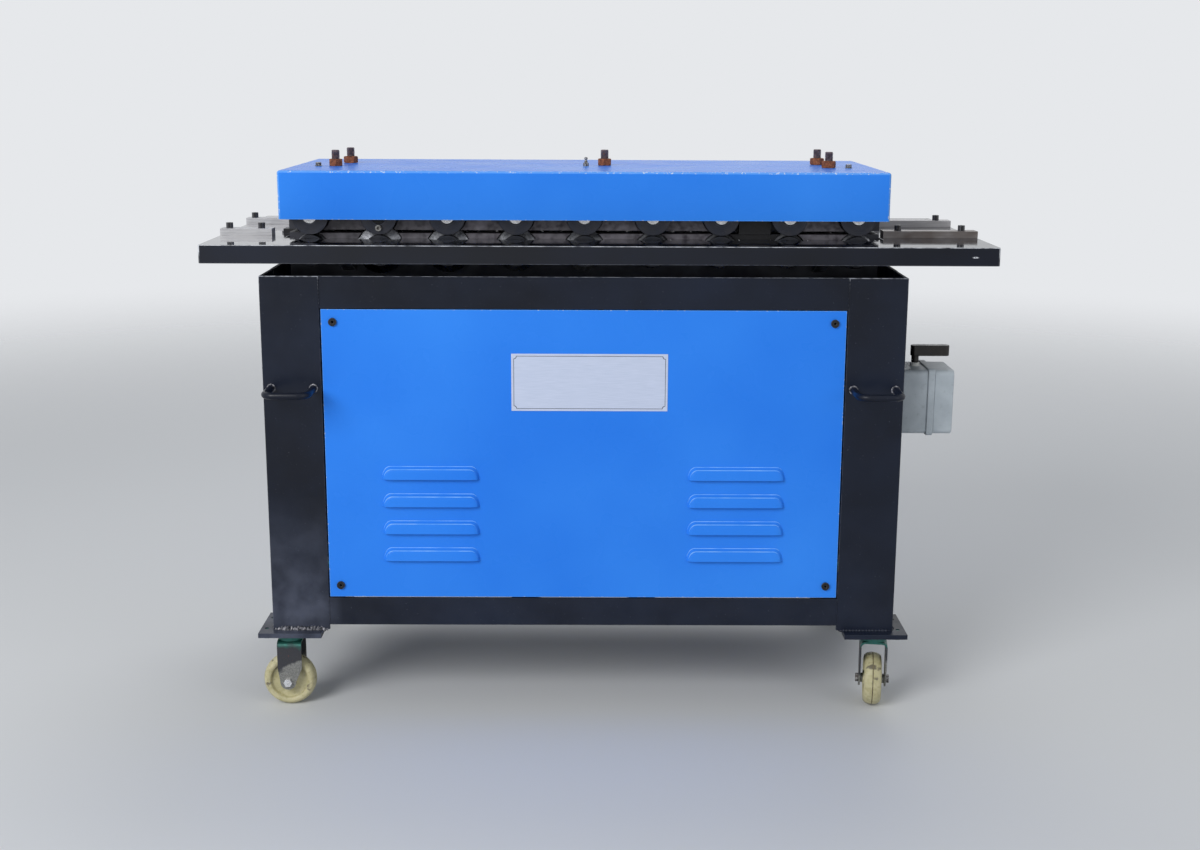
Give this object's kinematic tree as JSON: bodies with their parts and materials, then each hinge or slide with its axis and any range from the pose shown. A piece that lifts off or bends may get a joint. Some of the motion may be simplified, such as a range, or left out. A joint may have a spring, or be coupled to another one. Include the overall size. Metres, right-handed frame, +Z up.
{
  "type": "duct lock former",
  "caption": "Double-sided roll former for duct seams: a covered head of paired geared rolls on a long table, over a wheeled cabinet with louvred panels.",
  "frame": {"origin": "on the floor, under the middle of the table", "axes": "+X along the table from the entry to the exit end, +Y from the operator's side to the back, +Z up"},
  "size_m": [1.422, 0.71, 1.0411],
  "materials": {
    "frame_enamel": "gloss enamel, dark blue-grey",
    "table_enamel": "high-gloss enamel, near black",
    "blue_enamel": "gloss enamel, bright blue",
    "black_oxide": "black oxide steel",
    "ground_steel": "ground steel",
    "plate_steel": "milled steel plate",
    "roll_steel": "hardened, blued steel",
    "gear_steel": "cut steel, oiled",
    "rusty_steel": "rusty steel",
    "stud_steel": "browned steel",
    "zinc": "dull zinc plate",
    "nylon": "cast nylon, cream",
    "switch_grey": "moulded plastic, grey",
    "lever_black": "moulded plastic, black",
    "motor_grey": "grey enamel"
  },
  "bodies": {
    "cabinet_and_head": {"corner_posts": "frame_enamel", "frame_rails": "frame_enamel", "side_sheets": "frame_enamel", "cross_members": "frame_enamel", "foot_plates": "frame_enamel", "front_panel": "blue_enamel", "rear_panel": "blue_enamel", "handles": "frame_enamel", "table_top": "table_enamel", "guide_bars": "ground_steel", "socket_screws": "black_oxide", "lower_bearing_plates": "plate_steel", "upper_bearing_plates": "plate_steel", "head_spacers": "plate_steel", "guide_blocks": "ground_steel", "head_cover": "blue_enamel", "pressure_studs": "stud_steel", "jam_nuts": "rusty_steel", "cover_fixings": "zinc", "gear_motor": "motor_grey", "drive_chain": "gear_steel", "switch_base": "switch_grey", "switch_cover": "switch_grey", "caster_tops": "zinc"},
    "motor_output": {"motor_output": "gear_steel"},
    "switch_lever": {"switch_lever": "lever_black"},
    "lower_roll_shaft_1": {"lower_roll_shaft_1": "roll_steel"},
    "upper_roll_shaft_1": {"upper_roll_shaft_1": "roll_steel"},
    "lower_roll_shaft_2": {"lower_roll_shaft_2": "roll_steel"},
    "upper_roll_shaft_2": {"upper_roll_shaft_2": "roll_steel"},
    "lower_roll_shaft_3": {"lower_roll_shaft_3": "roll_steel"},
    "upper_roll_shaft_3": {"upper_roll_shaft_3": "roll_steel"},
    "lower_roll_shaft_4": {"lower_roll_shaft_4": "roll_steel"},
    "upper_roll_shaft_4": {"upper_roll_shaft_4": "roll_steel"},
    "lower_roll_shaft_5": {"lower_roll_shaft_5": "roll_steel"},
    "upper_roll_shaft_5": {"upper_roll_shaft_5": "roll_steel"},
    "lower_roll_shaft_6": {"lower_roll_shaft_6": "roll_steel"},
    "upper_roll_shaft_6": {"upper_roll_shaft_6": "roll_steel"},
    "lower_roll_shaft_7": {"lower_roll_shaft_7": "roll_steel"},
    "upper_roll_shaft_7": {"upper_roll_shaft_7": "roll_steel"},
    "lower_roll_shaft_8": {"lower_roll_shaft_8": "roll_steel"},
    "upper_roll_shaft_8": {"upper_roll_shaft_8": "roll_steel"},
    "lower_roll_shaft_9": {"lower_roll_shaft_9": "roll_steel"},
    "upper_roll_shaft_9": {"upper_roll_shaft_9": "roll_steel"},
    "idler_gear_1": {"idler_gear_1": "gear_steel"},
    "idler_gear_2": {"idler_gear_2": "gear_steel"},
    "idler_gear_3": {"idler_gear_3": "gear_steel"},
    "idler_gear_4": {"idler_gear_4": "gear_steel"},
    "idler_gear_5": {"idler_gear_5": "gear_steel"},
    "idler_gear_6": {"idler_gear_6": "gear_steel"},
    "idler_gear_7": {"idler_gear_7": "gear_steel"},
    "idler_gear_8": {"idler_gear_8": "gear_steel"},
    "caster_fork_front_left": {"caster_fork_front_left": "zinc"},
    "caster_wheel_front_left": {"caster_wheel_front_left": "nylon"},
    "caster_fork_front_right": {"caster_fork_front_right": "zinc"},
    "caster_wheel_front_right": {"caster_wheel_front_right": "nylon"},
    "caster_fork_rear_left": {"caster_fork_rear_left": "zinc"},
    "caster_wheel_rear_left": {"caster_wheel_rear_left": "nylon"},
    "caster_fork_rear_right": {"caster_fork_rear_right": "zinc"},
    "caster_wheel_rear_right": {"caster_wheel_rear_right": "nylon"}
  },
  "joints": [
    {"name": "lower_roll_1_spin", "type": "hinge", "parent": "cabinet_and_head", "child": "lower_roll_shaft_1", "pos_m": [-0.532, 0, 0.8645], "axis": [0, 1, 0], "continuous": true},
    {"name": "upper_roll_1_spin", "type": "hinge", "parent": "cabinet_and_head", "child": "upper_roll_shaft_1", "pos_m": [-0.532, 0, 0.9275], "axis": [0, 1, 0], "continuous": true},
    {"name": "lower_roll_2_spin", "type": "hinge", "parent": "cabinet_and_head", "child": "lower_roll_shaft_2", "pos_m": [-0.406, 0, 0.8645], "axis": [0, 1, 0], "continuous": true},
    {"name": "upper_roll_2_spin", "type": "hinge", "parent": "cabinet_and_head", "child": "upper_roll_shaft_2", "pos_m": [-0.406, 0, 0.9275], "axis": [0, 1, 0], "continuous": true},
    {"name": "lower_roll_3_spin", "type": "hinge", "parent": "cabinet_and_head", "child": "lower_roll_shaft_3", "pos_m": [-0.28, 0, 0.8645], "axis": [0, 1, 0], "continuous": true},
    {"name": "upper_roll_3_spin", "type": "hinge", "parent": "cabinet_and_head", "child": "upper_roll_shaft_3", "pos_m": [-0.28, 0, 0.9275], "axis": [0, 1, 0], "continuous": true},
    {"name": "lower_roll_4_spin", "type": "hinge", "parent": "cabinet_and_head", "child": "lower_roll_shaft_4", "pos_m": [-0.154, 0, 0.8645], "axis": [0, 1, 0], "continuous": true},
    {"name": "upper_roll_4_spin", "type": "hinge", "parent": "cabinet_and_head", "child": "upper_roll_shaft_4", "pos_m": [-0.154, 0, 0.9275], "axis": [0, 1, 0], "continuous": true},
    {"name": "lower_roll_5_spin", "type": "hinge", "parent": "cabinet_and_head", "child": "lower_roll_shaft_5", "pos_m": [-0.028, 0, 0.8645], "axis": [0, 1, 0], "continuous": true},
    {"name": "upper_roll_5_spin", "type": "hinge", "parent": "cabinet_and_head", "child": "upper_roll_shaft_5", "pos_m": [-0.028, 0, 0.9275], "axis": [0, 1, 0], "continuous": true},
    {"name": "lower_roll_6_spin", "type": "hinge", "parent": "cabinet_and_head", "child": "lower_roll_shaft_6", "pos_m": [0.098, 0, 0.8645], "axis": [0, 1, 0], "continuous": true},
    {"name": "upper_roll_6_spin", "type": "hinge", "parent": "cabinet_and_head", "child": "upper_roll_shaft_6", "pos_m": [0.098, 0, 0.9275], "axis": [0, 1, 0], "continuous": true},
    {"name": "lower_roll_7_spin", "type": "hinge", "parent": "cabinet_and_head", "child": "lower_roll_shaft_7", "pos_m": [0.224, 0, 0.8645], "axis": [0, 1, 0], "continuous": true},
    {"name": "upper_roll_7_spin", "type": "hinge", "parent": "cabinet_and_head", "child": "upper_roll_shaft_7", "pos_m": [0.224, 0, 0.9275], "axis": [0, 1, 0], "continuous": true},
    {"name": "lower_roll_8_spin", "type": "hinge", "parent": "cabinet_and_head", "child": "lower_roll_shaft_8", "pos_m": [0.35, 0, 0.8645], "axis": [0, 1, 0], "continuous": true},
    {"name": "upper_roll_8_spin", "type": "hinge", "parent": "cabinet_and_head", "child": "upper_roll_shaft_8", "pos_m": [0.35, 0, 0.9275], "axis": [0, 1, 0], "continuous": true},
    {"name": "lower_roll_9_spin", "type": "hinge", "parent": "cabinet_and_head", "child": "lower_roll_shaft_9", "pos_m": [0.476, 0, 0.8645], "axis": [0, 1, 0], "continuous": true},
    {"name": "upper_roll_9_spin", "type": "hinge", "parent": "cabinet_and_head", "child": "upper_roll_shaft_9", "pos_m": [0.476, 0, 0.9275], "axis": [0, 1, 0], "continuous": true},
    {"name": "idler_1_spin", "type": "hinge", "parent": "cabinet_and_head", "child": "idler_gear_1", "pos_m": [-0.469, 0, 0.8645], "axis": [0, 1, 0], "continuous": true},
    {"name": "idler_2_spin", "type": "hinge", "parent": "cabinet_and_head", "child": "idler_gear_2", "pos_m": [-0.343, 0, 0.8645], "axis": [0, 1, 0], "continuous": true},
    {"name": "idler_3_spin", "type": "hinge", "parent": "cabinet_and_head", "child": "idler_gear_3", "pos_m": [-0.217, 0, 0.8645], "axis": [0, 1, 0], "continuous": true},
    {"name": "idler_4_spin", "type": "hinge", "parent": "cabinet_and_head", "child": "idler_gear_4", "pos_m": [-0.091, 0, 0.8645], "axis": [0, 1, 0], "continuous": true},
    {"name": "idler_5_spin", "type": "hinge", "parent": "cabinet_and_head", "child": "idler_gear_5", "pos_m": [0.035, 0, 0.8645], "axis": [0, 1, 0], "continuous": true},
    {"name": "idler_6_spin", "type": "hinge", "parent": "cabinet_and_head", "child": "idler_gear_6", "pos_m": [0.161, 0, 0.8645], "axis": [0, 1, 0], "continuous": true},
    {"name": "idler_7_spin", "type": "hinge", "parent": "cabinet_and_head", "child": "idler_gear_7", "pos_m": [0.287, 0, 0.8645], "axis": [0, 1, 0], "continuous": true},
    {"name": "idler_8_spin", "type": "hinge", "parent": "cabinet_and_head", "child": "idler_gear_8", "pos_m": [0.413, 0, 0.8645], "axis": [0, 1, 0], "continuous": true},
    {"name": "motor_output_spin", "type": "hinge", "parent": "cabinet_and_head", "child": "motor_output", "pos_m": [-0.028, 0, 0.378], "axis": [0, 1, 0], "continuous": true},
    {"name": "switch_turn", "type": "hinge", "parent": "cabinet_and_head", "child": "switch_lever", "pos_m": [0.601, -0.1435, 0.65], "axis": [0, 0, 1], "range_deg": [-45, 45]},
    {"name": "front_left_swivel", "type": "hinge", "parent": "cabinet_and_head", "child": "caster_fork_front_left", "pos_m": [-0.586, -0.24, 0.13], "axis": [0, 0, 1], "continuous": true},
    {"name": "front_left_wheel_spin", "type": "hinge", "parent": "caster_fork_front_left", "child": "caster_wheel_front_left", "pos_m": [-0.59, -0.24, 0.05], "axis": [0, -1, 0], "continuous": true},
    {"name": "front_right_swivel", "type": "hinge", "parent": "cabinet_and_head", "child": "caster_fork_front_right", "pos_m": [0.528, -0.24, 0.13], "axis": [0, 0, 1], "continuous": true},
    {"name": "front_right_wheel_spin", "type": "hinge", "parent": "caster_fork_front_right", "child": "caster_wheel_front_right", "pos_m": [0.52856, -0.23604, 0.05], "axis": [-0.9903, 0.1392, 0], "continuous": true},
    {"name": "rear_left_swivel", "type": "hinge", "parent": "cabinet_and_head", "child": "caster_fork_rear_left", "pos_m": [-0.586, 0.24, 0.13], "axis": [0, 0, 1], "continuous": true},
    {"name": "rear_left_wheel_spin", "type": "hinge", "parent": "caster_fork_rear_left", "child": "caster_wheel_rear_left", "pos_m": [-0.58962, 0.23831, 0.05], "axis": [0.4226, -0.9063, 0], "continuous": true},
    {"name": "rear_right_swivel", "type": "hinge", "parent": "cabinet_and_head", "child": "caster_fork_rear_right", "pos_m": [0.528, 0.24, 0.13], "axis": [0, 0, 1], "continuous": true},
    {"name": "rear_right_wheel_spin", "type": "hinge", "parent": "caster_fork_rear_right", "child": "caster_wheel_rear_right", "pos_m": [0.52424, 0.24137, 0.05], "axis": [-0.342, -0.9397, 0], "continuous": true}
  ],
  "couplings": [
    {"joint": "lower_roll_1_spin", "follows": "lower_roll_5_spin", "ratio": 1},
    {"joint": "upper_roll_1_spin", "follows": "lower_roll_5_spin", "ratio": -1},
    {"joint": "lower_roll_2_spin", "follows": "lower_roll_5_spin", "ratio": 1},
    {"joint": "upper_roll_2_spin", "follows": "lower_roll_5_spin", "ratio": -1},
    {"joint": "lower_roll_3_spin", "follows": "lower_roll_5_spin", "ratio": 1},
    {"joint": "upper_roll_3_spin", "follows": "lower_roll_5_spin", "ratio": -1},
    {"joint": "lower_roll_4_spin", "follows": "lower_roll_5_spin", "ratio": 1},
    {"joint": "upper_roll_4_spin", "follows": "lower_roll_5_spin", "ratio": -1},
    {"joint": "upper_roll_5_spin", "follows": "lower_roll_5_spin", "ratio": -1},
    {"joint": "lower_roll_6_spin", "follows": "lower_roll_5_spin", "ratio": 1},
    {"joint": "upper_roll_6_spin", "follows": "lower_roll_5_spin", "ratio": -1},
    {"joint": "lower_roll_7_spin", "follows": "lower_roll_5_spin", "ratio": 1},
    {"joint": "upper_roll_7_spin", "follows": "lower_roll_5_spin", "ratio": -1},
    {"joint": "lower_roll_8_spin", "follows": "lower_roll_5_spin", "ratio": 1},
    {"joint": "upper_roll_8_spin", "follows": "lower_roll_5_spin", "ratio": -1},
    {"joint": "lower_roll_9_spin", "follows": "lower_roll_5_spin", "ratio": 1},
    {"joint": "upper_roll_9_spin", "follows": "lower_roll_5_spin", "ratio": -1},
    {"joint": "idler_1_spin", "follows": "lower_roll_5_spin", "ratio": -1},
    {"joint": "idler_2_spin", "follows": "lower_roll_5_spin", "ratio": -1},
    {"joint": "idler_3_spin", "follows": "lower_roll_5_spin", "ratio": -1},
    {"joint": "idler_4_spin", "follows": "lower_roll_5_spin", "ratio": -1},
    {"joint": "idler_5_spin", "follows": "lower_roll_5_spin", "ratio": -1},
    {"joint": "idler_6_spin", "follows": "lower_roll_5_spin", "ratio": -1},
    {"joint": "idler_7_spin", "follows": "lower_roll_5_spin", "ratio": -1},
    {"joint": "idler_8_spin", "follows": "lower_roll_5_spin", "ratio": -1},
    {"joint": "motor_output_spin", "follows": "lower_roll_5_spin", "ratio": 1}
  ]
}
